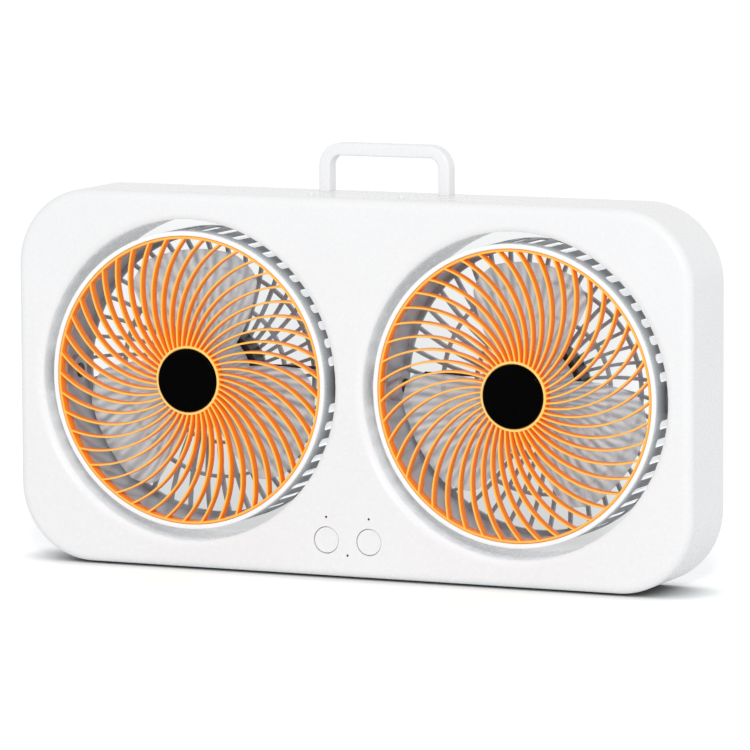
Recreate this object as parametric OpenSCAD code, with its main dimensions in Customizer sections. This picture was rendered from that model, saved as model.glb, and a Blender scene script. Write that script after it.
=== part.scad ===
/* [Grille and head] */
// Outer radius of the front grille
grille_r = 80; // [72:1:90]
// Width of the grille's rim, measured along the radius
grille_rim_w = 1.6; // [1.4:0.2:3.2]
// Depth of the grille's rim and bars
grille_d = 6.5; // [4:0.5:7]
// Number of curved bars in the front grille
bar_count = 45; // [30:1:48]
// Width of one grille bar
bar_w = 1.1; // [1:0.1:1.6]
// Radius of the arc that one grille bar follows, as a multiple of the grille radius
bar_arc_k = 0.764; // [0.7:0.01:0.8]
// Radius of the black hub cap
cap_r = 17.4; // [14:0.2:19]
// How far the hub cap stands proud of the grille
cap_proud = 1.5; // [0.5:0.25:1.75]
// Width of the pale trim ring round the grille
trim_w = 2.7; // [2.2:0.1:3.5]
// Depth of one head, from the grille to the back of the rear guard
head_d = 46; // [44:1:48]
// Wall of the drum that carries the grille
drum_wall = 2.4; // [1.4:0.2:2.4]
// Number of pockets in each half of the drum wall
slot_count = 24; // [16:1:24]
// Width of one pocket in the drum wall
slot_w = 5; // [3:0.5:5]

/* [Rear guard] */
// Number of curved bars in the rear guard
guard_bars = 40; // [24:1:44]
// Width of one bar of the rear guard
guard_bar_w = 1.8; // [1.4:0.2:2.4]
// Thickness of the rear guard
guard_t = 2.6; // [1.6:0.2:2.6]
// Radius of the motor plate in the middle of the rear guard
plate_r = 28; // [27:0.5:31]

/* [Motor and fan] */
// Radius of the motor can
motor_r = 17; // [14:0.5:18]
// Length of the motor can
motor_len = 18; // [14:1:19]
// Radius of the motor shaft
shaft_r = 1.5; // [1:0.25:2]
// Outer radius of the fan hub
hub_r = 25; // [24:0.5:25.5]
// Number of fan blades
blade_count = 3; // [2:1:4]
// Angle that one blade spans where it leaves the hub
blade_span = 92; // [60:2:96]
// Thickness of a blade
blade_t = 1.4; // [1:0.1:2]
// Gap between a blade's tip and the inside of the drum
tip_gap = 9.1; // [9.1:0.2:14]

/* [Case] */
// Depth of the case, front to back
case_d = 50; // [50:1:58]
// Gap between a head and the tunnel that it tilts in
head_gap = 6.5; // [6.1:0.1:8]
// Wall round each tunnel
tunnel_wall = 2; // [1.6:0.2:2.6]
// Web between the two tunnels
centre_web = 12.2; // [12:0.2:24]
// Space from a tunnel to the top and bottom of the case
top_margin = 12.8; // [12.4:0.2:24]
// Space from a tunnel to the side of the case
side_margin = 12.3; // [11.5:0.2:24]
// Corner radius of the case, seen from the front
case_corner_r = 43; // [34:1:50]
// Rounding of the case's front edge
front_fillet = 5; // [4:0.5:6]
// Rounding of the tunnel's front edge
mouth_fillet = 4; // [3:0.5:4]
// Wall of the case
case_wall = 2.2; // [1.8:0.1:2.4]
// Rounding of the rear cover's edge
rear_fillet = 1.6; // [1:0.2:1.8]

/* [Pivots] */
// Radius of the pivot axles
axle_r = 4; // [3:0.25:4.5]
// Radius of the wire hole in the inner axles
axle_hole_r = 2.4; // [1.6:0.2:2.4]
// Radius of the round pads that the axles turn in
pad_r = 8.4; // [8:0.2:8.6]
// Radial clearance of the axles in the drum
axle_clear = 0.05; // [0.03:0.01:0.1]
// Thickness of the friction washers
washer_t = 1.6; // [1:0.1:1.9]

/* [Handle] */
// Outside width of the handle
handle_w = 78; // [66:1:78]
// Height of the handle above the case when it is pulled out
handle_h = 27; // [22:0.5:28.5]
// Width of a handle leg, seen from the front
handle_bar_w = 6.6; // [5:0.2:7]
// Depth of a handle leg, front to back
handle_bar_d = 9; // [7:0.5:9]
// Height of the crossbar
handle_bar_h = 7; // [5:0.5:8]
// Outside corner radius of the handle
handle_corner_r = 13; // [9:1:15]
// How far the handle sits to the right of the middle
handle_x = 6; // [0:0.5:6]
// Gap between the handle's guides and the rear cover
handle_inset = 0.3; // [0.2:0.1:3]
// Distance between the two studs on the top of the case
stud_pitch = 54; // [40:1:60]

/* [Buttons and boards] */
// Radius of a push button
button_r = 7.1; // [6:0.1:7.6]
// Distance between the two push buttons
button_pitch = 25.5; // [23:0.5:28]
// Height of the buttons above the bottom of the case
button_z = 20.2; // [18:0.2:20.4]
// How far a button travels
button_travel = 1; // [0.6:0.1:1.2]
// Distance from a button to the lamp above it
lamp_rise = 12.8; // [11.6:0.2:13]
// Radius of a lamp's light pipe
pipe_r = 0.6; // [0.4:0.1:0.8]
// Width of the battery pack
pack_w = 58; // [40:1:64]
// Height of the battery pack
pack_h = 13; // [8:0.5:16]
// Depth of the battery pack, front to back
pack_d = 28; // [20:1:28]

/* [Feet and screws] */
// Radius of a foot
foot_r = 6; // [4:0.5:8]
// How far the feet stand out below the case
foot_proud = 1; // [0.6:0.2:1.6]
// Radius of a cover screw's shank
screw_r = 1.3; // [1:0.1:1.5]
// Radius of a cover screw's head
screw_head_r = 2.5; // [2.2:0.1:2.8]

/* [Hidden] */
$fn = 96;

WHITE = "whitesmoke";
ORANGE = "#f58220";
BLACK = "#151515";
SILVER = "#b9bcbf";
GREY = "#7d8083";
SMOKE = "#c9bfc4";
STEEL = "#a8a8a8";
BOARD = "#1f5b3a";
PACK = "#2f6fb0";
RUBBER = "#2a2a2a";

// Slack between parts that only rest against each other, and round a loose part
fit_gap = 0.1;
loose_gap = 0.3;

// Tunnels, case outline and where the heads sit
drum_r = grille_r + trim_w;
tunnel_r = drum_r + head_gap;
tunnel_out_r = tunnel_r + tunnel_wall;
head_x = tunnel_out_r + centre_web / 2;
case_w = 2 * (head_x + tunnel_out_r + side_margin);
case_h = 2 * (tunnel_out_r + top_margin);
case_bottom = foot_proud;
case_top = case_bottom + case_h;
head_z = case_bottom + case_h / 2;
front_y = -case_d / 2;
back_y = case_d / 2;
cover_t = case_wall;
seam_y = back_y - cover_t;
front_in = front_y + case_wall;
top_in = case_top - case_wall;

// Depths inside a head, counted from its tilt axis
ring_y = -head_d / 2;
rim_back = ring_y + grille_d;
ledge_t = 1.5;
trim_len = 5;
trim_back = ring_y + trim_len;
drum_len = 37;
drum_back = ring_y + drum_len;
guard_back = -ring_y;
drum_in_r = drum_r - drum_wall;
slot_inset = 8.5;
liner_t = 1;
slot_margin = 3;
slot_front = ring_y + slot_inset;
slot_back = drum_back - slot_margin;
slot_start = 9;
slot_step = (180 - 2 * slot_start) / (slot_count - 1);
hub_ring_w = 1.5;

// The grille's bars are arcs that start tangent to the hub and swirl out to the rim
bar_arc_r = bar_arc_k * grille_r;
bar_centre_r = bar_arc_r - 0.8;
bar_phase = -54.7;
bar_in_r = cap_r + 0.3 + hub_ring_w / 2;
bar_out_r = grille_r - grille_rim_w / 2;

// Rear guard, a shallow cone of bars with two rings
guard_rim_w = 5;
guard_rim_t = 2.5;
plate_t = 1.8;
plate_back = guard_back - 1.2;
plate_front = plate_back - plate_t;
guard_in_y = plate_front + 0.2;
guard_out_y = drum_back + 0.2;
guard_rings = [grille_r * 0.73, grille_r * 0.494];
guard_arc_r = 2 * grille_r;

// Motor, cup and fan
cup_wall = 1.5;
cup_len = 12;
cup_front = plate_front - cup_len;
motor_back = plate_front - cup_wall;
motor_front = motor_back - motor_len;
hub_wall = 1.6;
hub_back = cup_front - 1.5;
hub_front = rim_back + 2.5;
tip_r = drum_in_r - tip_gap;
blade_mid_y = rim_back + 11.1;
blade_rise = 13;
blade_phase = 90;
blade_root_span = min(blade_span, 360 / blade_count - 20);
blade_sweep = 4;
shaft_back = motor_back - 3;
shaft_front = hub_front + hub_wall + 1;
head_lead_y = cup_front + 1.6;
head_lead_z = 6.4;

// Pivots, measured along X from a head's centre
pad_in = tunnel_r - 1;
pad_out = tunnel_out_r + 2;
flange_t = 1.5;
flange_r = pad_r - 1.4;
washer_in = pad_in - washer_t;
boss_out = washer_in - loose_gap;
boss_in_outer = drum_in_r - 2.7;
boss_in_inner = drum_in_r - 6.7;
boss_r = pad_r;

// Handle
leg_x = (handle_w - handle_bar_w) / 2;
handle_inner_r = max(handle_corner_r - handle_bar_w, 1);
handle_travel = handle_h - max(handle_bar_h + handle_inner_r, handle_corner_r) - loose_gap;
guide_len = 7;
guide_wall = 1.2;
leg_clear = 0.15;
leg_foot_h = 2;
leg_foot_out = 1;
leg_len = guide_len + case_wall + loose_gap + leg_foot_h;
handle_y = seam_y - handle_inset - guide_wall - leg_clear - handle_bar_d / 2;
nib_r = 0.7;
nib_x = handle_x + 7;

// Top studs
stud_r = 1.75;
stud_h = 1.8;
stud_y = front_y + 14;

// Buttons and boards
button_clear = 0.4;
button_flange = 1.3;
button_flange_t = 1;
button_inset = 0.1;
board_t = 1.6;
board_y = front_y + 13.4;
board_w = 54;
board_low = 6;
board_high = 37;
switch_w = 6;
switch_d = 3.4;
plunger_r = 1.6;
plunger_len = 2.2;
stem_end = board_y - switch_d - button_travel - 0.3;
post_r = 2.4;
board_post_x = 23.6;
board_post_z = [9.6, 33.4];
lamp_low = 12.3;
plug_x = 7;
charge_y = back_y - 11;
charge_w = 36;
charge_low = 7;
charge_high = 31;
charge_post_x = 14.5;
charge_post_z = 19;
socket_z = 14;
socket_w = 9;
socket_h = 3.3;
small_screw_r = 0.9;
small_screw_len = 5;
small_head_r = 1.9;
small_head_t = 1.2;

// Battery pack and its tray
tray_t = 1.6;
pack_top = top_in - 1;
tray_top = pack_top - pack_h;
pack_front = front_in + 3;
pack_back = pack_front + pack_d;
tray_lip = 3;
hanger_r = 3;
hanger_x = pack_w / 2 + 5.5;
hanger_y = pack_front + 10;
tray_w = 2 * (hanger_x + hanger_r + 0.6);
lead_r = 0.8;
lead_x = 1.4;
lead_y = pack_back + 4;

// Places of the eight cover screws
corner_in = 21;
mid_screw_in = 11;
mid_screw_gap = 7.3;
mid_screw_x = handle_x + handle_w / 2 + leg_foot_out + mid_screw_gap;
screw_spots = [
    for (sx = [-1, 1]) for (z = [case_bottom + corner_in, case_top - corner_in])
        [sx * (case_w / 2 - corner_in), z],
    for (sx = [-1, 1]) for (z = [case_bottom + mid_screw_in, case_top - mid_screw_in])
        [sx * mid_screw_x, z]
];
screw_len = 12;
screw_head_t = 1.4;
screw_post_r = 3.4;
foot_sink = 1;
foot_x = case_w / 2 - case_corner_r - foot_r - 4;
foot_y = case_d / 2 - foot_r - 5.2;

// Turns a profile of (radius, depth) round the Y axis
module lathe() {
    rotate([-90, 0, 0])
        rotate_extrude()
            children();
}

// Pushes an outline in the X-Z plane along Y
module along_y(y0, y1) {
    translate([0, y1, 0])
        rotate([90, 0, 0])
            linear_extrude(y1 - y0)
                children();
}

module tube_y(r_out, r_in, y0, y1) {
    lathe()
        translate([r_in, y0])
            square([r_out - r_in, y1 - y0]);
}

module rod_y(r, y0, y1) {
    translate([0, y0, 0])
        rotate([-90, 0, 0])
            cylinder(r = r, h = y1 - y0);
}

module rod_x(r, x0, x1) {
    translate([x0, 0, 0])
        rotate([0, 90, 0])
            cylinder(r = r, h = x1 - x0);
}

module rod_z(r, z0, z1) {
    translate([0, 0, z0])
        cylinder(r = r, h = z1 - z0);
}

module box(low, high) {
    translate(low)
        cube(high - low);
}

// The left head as drawn, or its mirror image on the right
module at_head(side) {
    translate([side * head_x, 0, head_z])
        mirror([side > 0 ? 1 : 0, 0, 0])
            children();
}

module both_heads() {
    for (side = [-1, 1])
        at_head(side)
            children();
}

// A wire along a list of points, with round bends
module wire(points, r) {
    for (i = [0 : len(points) - 2]) {
        run = points[i + 1] - points[i];
        flat = norm([run[0], run[1]]);
        translate(points[i])
            rotate([0, atan2(flat, run[2]), atan2(run[1], run[0])])
                cylinder(r = r, h = norm(run), $fn = 24);
        if (i > 0)
            translate(points[i])
                sphere(r = 1.08 * r, $fn = 24);
    }
}

// One curved bar, an arc from radius r_in to radius r_out round the Y axis.
// The arc's centre lies on the X axis at centre_r; y0 and y1 are its front and back.
module swirl_bar(centre_r, arc_r, r_in, r_out, w, y0, y1) {
    a_out = acos((r_out * r_out - centre_r * centre_r - arc_r * arc_r) / (2 * centre_r * arc_r));
    a_in = acos((r_in * r_in - centre_r * centre_r - arc_r * arc_r) / (2 * centre_r * arc_r));
    translate([0, y1, 0])
        rotate([90, 0, 0])
            translate([centre_r, 0, 0])
                rotate([0, 0, a_out])
                    rotate_extrude(angle = a_in - a_out)
                        translate([arc_r - w / 2, 0])
                            square([w, y1 - y0]);
}

// Rounded-corner box of the case, drawn in by inset and rounded at its front edge
module case_solid(inset, y0, y1, fillet) {
    half_w = case_w / 2 - inset;
    low = case_bottom + inset;
    high = case_top - inset;
    r = case_corner_r - inset;
    for (sx = [-1, 1]) {
        for (z = [low + r, high - r])
            translate([sx * (half_w - r), 0, z])
                lathe() {
                    translate([0, y0])
                        square([r - fillet, y1 - y0]);
                    translate([0, y0 + fillet])
                        square([r, y1 - y0 - fillet]);
                    translate([r - fillet, y0 + fillet])
                        circle(r = fillet);
                }
        translate([sx * (half_w - fillet), y0 + fillet, 0])
            rod_z(fillet, low + r, high - r);
    }
    for (z = [low + fillet, high - fillet])
        translate([0, y0 + fillet, z])
            rod_x(fillet, -half_w + r, half_w - r);
    box([-half_w + r, y0, low + fillet], [half_w - r, y1, high - fillet]);
    box([-half_w + fillet, y0, low + r], [half_w - fillet, y1, high - r]);
    box([-half_w + r, y0 + fillet, low], [half_w - r, y1, high]);
    box([-half_w, y0 + fillet, low + r], [half_w, y1, high - r]);
}

// The same outline rounded at its back edge
module cover_solid(y0, y1, fillet) {
    intersection() {
        mirror([0, 1, 0])
            case_solid(0, -y1, 2 * fillet + 1 - y1, fillet);
        box([-case_w, y0, case_bottom - 1], [case_w, y1, case_top + 1]);
    }
}

// Cuts a tunnel with a rounded mouth at depth mouth_y; dir is +1 for a front mouth
module tunnel_cut(mouth_y, fillet, dir) {
    rod_y(tunnel_r, front_y - 1, back_y + 1);
    translate([0, mouth_y, 0])
        mirror([0, dir > 0 ? 0 : 1, 0])
            lathe()
                difference() {
                    translate([0, -1])
                        square([tunnel_r + fillet, fillet + 1]);
                    translate([tunnel_r + fillet, fillet])
                        circle(r = fillet);
                }
}

module at_legs() {
    for (sx = [-1, 1])
        translate([handle_x + sx * leg_x, handle_y, 0])
            children();
}

module leg_block(grow, z0, z1) {
    half_w = handle_bar_w / 2 + grow;
    half_d = handle_bar_d / 2 + grow;
    box([-half_w, -half_d, z0], [half_w, half_d, z1]);
}

module at_buttons() {
    for (sx = [-1, 1])
        translate([sx * button_pitch / 2, 0, case_bottom + button_z])
            children();
}

module at_lamps() {
    for (sx = [-1, 1])
        translate([sx * button_pitch / 2, 0, case_bottom + button_z + lamp_rise])
            children();
    translate([0, 0, case_bottom + lamp_low])
        children();
}

module at_board_posts() {
    for (sx = [-1, 1])
        for (z = board_post_z)
            translate([sx * board_post_x, 0, case_bottom + z])
                children();
}

module at_charge_posts() {
    for (sx = [-1, 1])
        translate([sx * charge_post_x, 0, case_bottom + charge_post_z])
            children();
}

module at_hangers() {
    for (sx = [-1, 1])
        translate([sx * hanger_x, hanger_y, 0])
            children();
}

module at_screws() {
    for (p = screw_spots)
        translate([p[0], 0, p[1]])
            children();
}

module at_feet() {
    for (sx = [-1, 1])
        for (sy = [-1, 1])
            translate([sx * foot_x, sy * foot_y, 0])
                children();
}

module at_studs() {
    for (sx = [-1, 1])
        translate([sx * stud_pitch / 2, stud_y, case_top])
            children();
}

// Both sides of a head along X; the outer side is -X on the left head
module both_pivots() {
    for (flip = [0, 1])
        mirror([flip, 0, 0])
            children();
}

// Deep front half of the case: front face, side walls and the tunnels
module front_shell() {
    color(WHITE)
        difference() {
            union() {
                difference() {
                    union() {
                        difference() {
                            case_solid(0, front_y, seam_y, front_fillet);
                            case_solid(case_wall, front_in, seam_y + 1, front_fillet - 1);
                        }
                        both_heads() {
                            rod_y(tunnel_out_r, front_in - 0.5, seam_y);
                            rod_y(tunnel_r + mouth_fillet + case_wall, front_in - 0.5,
                                front_y + mouth_fillet + case_wall);
                        }
                    }
                    both_heads()
                        tunnel_cut(front_y, mouth_fillet, 1);
                }
                both_heads()
                    both_pivots()
                        rod_x(pad_r, pad_in, pad_out);
                at_screws()
                    rod_y(screw_post_r, front_in - 0.5, seam_y);
                at_board_posts()
                    rod_y(post_r, front_in - 0.5, board_y);
                at_hangers()
                    rod_z(hanger_r, tray_top, top_in + 0.5);
                at_legs()
                    leg_block(leg_clear + guide_wall, top_in - guide_len, top_in + 0.5);
            }
            both_heads()
                both_pivots()
                    rod_x(axle_r + axle_clear, pad_in - 1, pad_out + 1);
            at_screws()
                rod_y(screw_r + axle_clear, seam_y - screw_len, seam_y + 1);
            at_board_posts()
                rod_y(small_screw_r + axle_clear, board_y - 6, board_y + 1);
            at_hangers()
                rod_z(small_screw_r + axle_clear, tray_top - 1, tray_top + 6);
            at_buttons()
                rod_y(button_r + button_clear, front_y - 1, front_in + 1);
            at_lamps()
                rod_y(pipe_r + axle_clear, front_y - 1, front_in + 1);
            at_legs()
                leg_block(leg_clear, top_in - guide_len - 1, case_top + 1);
            at_studs()
                rod_z(stud_r - 0.4 + axle_clear, -case_wall - 1, 1);
            at_feet()
                rod_z(foot_r + fit_gap, case_bottom - 1, case_bottom + foot_sink);
        }
}

// Flat back plate with its own round openings, screwed to the front shell
module rear_cover() {
    color(WHITE)
        difference() {
            union() {
                cover_solid(seam_y, back_y, rear_fillet);
                at_charge_posts()
                    rod_y(post_r, charge_y + board_t, seam_y + 0.5);
            }
            both_heads()
                tunnel_cut(back_y, rear_fillet, -1);
            at_screws() {
                rod_y(screw_r + fit_gap, seam_y - 1, back_y + 1);
                rod_y(screw_head_r + loose_gap, back_y - screw_head_t, back_y + 1);
            }
            at_charge_posts()
                rod_y(small_screw_r + axle_clear, charge_y - 1, seam_y + 0.4);
            socket_opening();
        }
}

module socket_opening() {
    half_w = (socket_w - socket_h) / 2;
    translate([0, 0, case_bottom + socket_z]) {
        for (sx = [-1, 1])
            translate([sx * half_w, 0, 0])
                rod_y(socket_h / 2 + loose_gap, seam_y - 1, back_y + 1);
        box([-half_w, seam_y - 1, -socket_h / 2 - loose_gap],
            [half_w, back_y + 1, socket_h / 2 + loose_gap]);
    }
}

// Pan-head screw along Y with its head at the back, under side of the head at y = 0
module screw_y(shank_r, shank_len, head_r, head_t) {
    rod_y(shank_r, -shank_len, 0);
    lathe()
        polygon([[0, 0], [head_r, 0], [head_r, head_t * 0.55], [head_r * 0.7, head_t], [0, head_t]]);
}

module cover_screws() {
    color(STEEL)
        at_screws()
            translate([0, back_y - screw_head_t, 0])
                screw_y(screw_r, screw_len - 1, screw_head_r, screw_head_t - 0.2);
}

module rubber_feet() {
    color(RUBBER)
        at_feet()
            rotate_extrude()
                polygon([[0, 0], [foot_r - 0.6, 0], [foot_r, 0.6],
                    [foot_r, case_bottom + foot_sink], [0, case_bottom + foot_sink]]);
}

module top_studs() {
    color(WHITE)
        at_studs() {
            rod_z(stud_r - 0.4, -case_wall, 0.1);
            rotate_extrude()
                polygon([[0, 0], [stud_r, 0], [stud_r, stud_h - 0.4], [stud_r - 0.4, stud_h], [0, stud_h]]);
        }
}

module round_top(w, h, r) {
    translate([-w / 2, 0])
        square([w, h - r]);
    translate([-w / 2 + r, 0])
        square([w - 2 * r, h]);
    for (sx = [-1, 1])
        translate([sx * (w / 2 - r), h - r])
            circle(r = r);
}

// Pull-up handle, drawn pulled out; its legs slide in the guides until its corners meet the top
module handle() {
    color(WHITE) {
        translate([handle_x, 0, case_top])
            along_y(handle_y - handle_bar_d / 2, handle_y + handle_bar_d / 2)
                difference() {
                    round_top(handle_w, handle_h, handle_corner_r);
                    translate([0, -0.01])
                        round_top(handle_w - 2 * handle_bar_w, handle_h - handle_bar_h + 0.01,
                            handle_inner_r);
                }
        at_legs() {
            leg_block(0, case_top - leg_len, case_top);
            box([-handle_bar_w / 2 - leg_foot_out, -handle_bar_d / 2, case_top - leg_len],
                [handle_bar_w / 2 + leg_foot_out, handle_bar_d / 2, case_top - leg_len + leg_foot_h]);
        }
        translate([nib_x, handle_y, case_top + handle_h - nib_r / 2])
            sphere(r = nib_r);
    }
}

// Push button: cap in the front face, a flange behind it and a stem to the switch
module push_button(side) {
    color(WHITE)
        translate([side * button_pitch / 2, 0, case_bottom + button_z])
            lathe()
                polygon([
                    [0, front_y + button_inset],
                    [button_r - 0.5, front_y + button_inset],
                    [button_r, front_y + button_inset + 0.5],
                    [button_r, front_in + loose_gap],
                    [button_r + button_flange, front_in + loose_gap],
                    [button_r + button_flange, front_in + loose_gap + button_flange_t],
                    [2.2, front_in + loose_gap + button_flange_t],
                    [2.2, stem_end],
                    [0, stem_end]
                ]);
}

module plunger(side) {
    color(BLACK)
        translate([side * button_pitch / 2, 0, case_bottom + button_z])
            rod_y(plunger_r, stem_end, stem_end + plunger_len);
}

module tact_switches() {
    color(STEEL)
        at_buttons()
            difference() {
                box([-switch_w / 2, board_y - switch_d, -switch_w / 2],
                    [switch_w / 2, board_y, switch_w / 2]);
                rod_y(plunger_r + fit_gap, board_y - switch_d - 1, board_y - 0.6);
            }
}

module switch_board() {
    low = case_bottom + board_low;
    high = case_bottom + board_high;
    color(BOARD)
        difference() {
            union() {
                box([-board_w / 2, board_y, low], [board_w / 2, board_y + board_t, high]);
                for (sx = [-1, 1])
                    box([sx * plug_x - 3, board_y + board_t, high - 13],
                        [sx * plug_x + 3, board_y + board_t + 5, high - 7]);
                at_lamps()
                    box([-1, board_y - 0.8, -0.6], [1, board_y, 0.6]);
            }
            at_board_posts()
                rod_y(small_screw_r + fit_gap, board_y - 1, board_y + board_t + 1);
        }
}

module light_pipes() {
    color("white")
        at_lamps()
            rod_y(pipe_r, front_y + 0.05, board_y - 0.8);
}

module charge_board() {
    low = case_bottom + charge_low;
    high = case_bottom + charge_high;
    color(BOARD)
        difference() {
            union() {
                box([-charge_w / 2, charge_y, low], [charge_w / 2, charge_y + board_t, high]);
                box([-3.5, charge_y - 5, high - 7], [3.5, charge_y, high - 1]);
                box([-9, charge_y - 1.2, low + 2], [-4, charge_y, low + 7]);
                box([4, charge_y - 2.6, low + 2], [10, charge_y, low + 8]);
            }
            at_charge_posts()
                rod_y(small_screw_r + fit_gap, charge_y - 1, charge_y + board_t + 1);
        }
}

// Charging socket: an open steel shell with a tongue, reached through the rear cover
module charge_socket() {
    half_w = (socket_w - socket_h) / 2;
    depth = 7.3;
    y0 = charge_y + board_t;
    y1 = back_y - 0.4;
    color(STEEL)
        translate([0, 0, case_bottom + socket_z]) {
            difference() {
                stadium(half_w, socket_h / 2, y0, y1);
                stadium(half_w, socket_h / 2 - 0.4, y1 - depth, y1 + 1);
            }
            box([-half_w + 0.3, y1 - depth - 0.2, -0.35], [half_w - 0.3, y1 - 1, 0.35]);
        }
}

module stadium(half_w, r, y0, y1) {
    for (sx = [-1, 1])
        translate([sx * half_w, 0, 0])
            rod_y(r, y0, y1);
    box([-half_w, y0, -r], [half_w, y1, r]);
}

module board_screws() {
    color(STEEL) {
        at_board_posts()
            translate([0, board_y + board_t, 0])
                screw_y(small_screw_r, small_screw_len, small_head_r, small_head_t);
        at_charge_posts()
            translate([0, charge_y, 0])
                mirror([0, 1, 0])
                    screw_y(small_screw_r, small_screw_len, small_head_r, small_head_t);
    }
}

module battery_pack() {
    color(PACK)
        translate([0, 0, tray_top])
            along_y(pack_front, pack_back)
                translate([0, pack_h / 2])
                    difference() {
                        square([pack_w, pack_h], center = true);
                        for (sx = [-1, 1])
                            for (sz = [-1, 1])
                                translate([sx * pack_w / 2, sz * pack_h / 2])
                                    rotate(45)
                                        square(2, center = true);
                    }
}

module battery_tray() {
    color(GREY)
        difference() {
            union() {
                box([-tray_w / 2, pack_front - tray_lip, tray_top - tray_t],
                    [tray_w / 2, pack_back + 1.5, tray_top]);
                for (y = [pack_front - 1.5 - fit_gap, pack_back + fit_gap])
                    box([-pack_w / 2, y, tray_top - 0.5], [pack_w / 2, y + 1.4, tray_top + 4]);
            }
            at_hangers()
                rod_z(small_screw_r + fit_gap, tray_top - tray_t - 1, tray_top + 1);
        }
}

module tray_screws() {
    color(STEEL)
        at_hangers()
            translate([0, 0, tray_top - tray_t])
                rotate([-90, 0, 0])
                    screw_y(small_screw_r, small_screw_len, small_head_r, small_head_t);
}

// Two leads from the pack down through the web to the charge board
module battery_leads() {
    high = tray_top + pack_h - 3;
    color("#b02020")
        for (sx = [-1, 1])
            wire([
                [sx * lead_x, pack_back, high],
                [sx * lead_x, lead_y, high],
                [sx * lead_x, lead_y, case_bottom + charge_high + 6],
                [sx * lead_x, charge_y - 2.5, case_bottom + charge_high + 1],
                [sx * lead_x, charge_y - 2.5, case_bottom + charge_high - 1]
            ], lead_r);
}

// The lead from a head's motor, from the middle of the hollow axle to the switch board
module motor_lead(side) {
    color(BLACK)
        wire([
            [side * (head_x - pad_in), 0, head_z],
            [side * lead_x, 0, head_z],
            [side * lead_x, 0, case_bottom + board_high + 10],
            [side * plug_x, board_y + board_t + 2.5, case_bottom + board_high - 2],
            [side * plug_x, board_y + board_t + 2.5, case_bottom + board_high - 7]
        ], lead_r);
}

// Solid axle on the outer side of a head; its flange bears on the case side of the pad
module outer_axle() {
    color(BLACK)
        mirror([1, 0, 0]) {
            rod_x(axle_r, boss_in_outer - 0.8, pad_out);
            rod_x(flange_r, pad_out, pad_out + flange_t);
        }
}

// Hollow axle on the inner side of a head, which the motor's lead runs through
module inner_axle() {
    color(BLACK)
        difference() {
            union() {
                rod_x(axle_r, boss_in_inner - 1, pad_out);
                rod_x(flange_r, pad_out, pad_out + flange_t);
            }
            rod_x(axle_hole_r, boss_in_inner - 2, pad_out + flange_t + 1);
        }
}

module friction_washers() {
    color(RUBBER)
        both_heads()
            both_pivots()
                difference() {
                    rod_x(pad_r - 0.6, washer_in, pad_in);
                    rod_x(axle_r + loose_gap, washer_in - 1, pad_in + 1);
                }
}

// Front grille: rim, hub ring with its floor, and the swirl of bars
module front_grille() {
    hub_out_r = cap_r + 0.3 + hub_ring_w;
    color(ORANGE) {
        tube_y(grille_r, grille_r - grille_rim_w, ring_y, rim_back);
        tube_y(hub_out_r, cap_r + 0.3, ring_y, rim_back);
        rod_y(hub_out_r, rim_back - 1.2, rim_back);
        for (k = [0 : bar_count - 1])
            rotate([0, -(bar_phase + k * 360 / bar_count), 0])
                swirl_bar(bar_centre_r, bar_arc_r, bar_in_r, bar_out_r, bar_w, ring_y + 0.3, rim_back - 0.3);
    }
}

module hub_cap() {
    front = ring_y - cap_proud;
    color(BLACK)
        lathe()
            polygon([[0, front], [cap_r - 1.2, front], [cap_r - 0.3, front + 0.4], [cap_r, front + 1.2],
                [cap_r, rim_back - 1.2], [0, rim_back - 1.2]]);
}

// Pale bead round the grille, seated on the drum's front edge
module trim_ring() {
    in_r = grille_r + fit_gap;
    bead_r = (drum_r - in_r) / 2;
    color(WHITE)
        lathe() {
            translate([in_r + bead_r, ring_y + bead_r])
                circle(r = bead_r);
            translate([in_r, ring_y + bead_r])
                square([2 * bead_r, trim_back - ring_y - bead_r]);
        }
}

// Pocket in the outside of the drum, as deep as the wall less its liner
module drum_slot() {
    mid = slot_front + slot_w / 2;
    floor_r = drum_in_r + liner_t;
    box([floor_r, mid, -slot_w / 2], [drum_r + 1, slot_back, slot_w / 2]);
    translate([0, mid, 0])
        rod_x(slot_w / 2, floor_r, drum_r + 1);
}

// Drum of a head: wall with pockets, the ledge the grille seats on, and the pivot bosses
module drum() {
    color(SILVER)
        difference() {
            union() {
                difference() {
                    union() {
                        tube_y(drum_r, drum_in_r, trim_back, drum_back);
                        tube_y(drum_in_r + 0.3, grille_r + fit_gap, trim_back, rim_back + ledge_t);
                        tube_y(drum_in_r + 0.3, grille_r - 2, rim_back, rim_back + ledge_t);
                    }
                    for (half = [0, 1])
                        mirror([0, 0, half])
                            for (k = [0 : slot_count - 1])
                                rotate([0, -(slot_start + k * slot_step), 0])
                                    drum_slot();
                }
                mirror([1, 0, 0])
                    rod_x(boss_r, boss_in_outer, boss_out);
                rod_x(boss_r, boss_in_inner, boss_out);
            }
            both_pivots()
                rod_x(axle_r + axle_clear, boss_in_inner - 1, boss_out + 1);
        }
}

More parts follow.
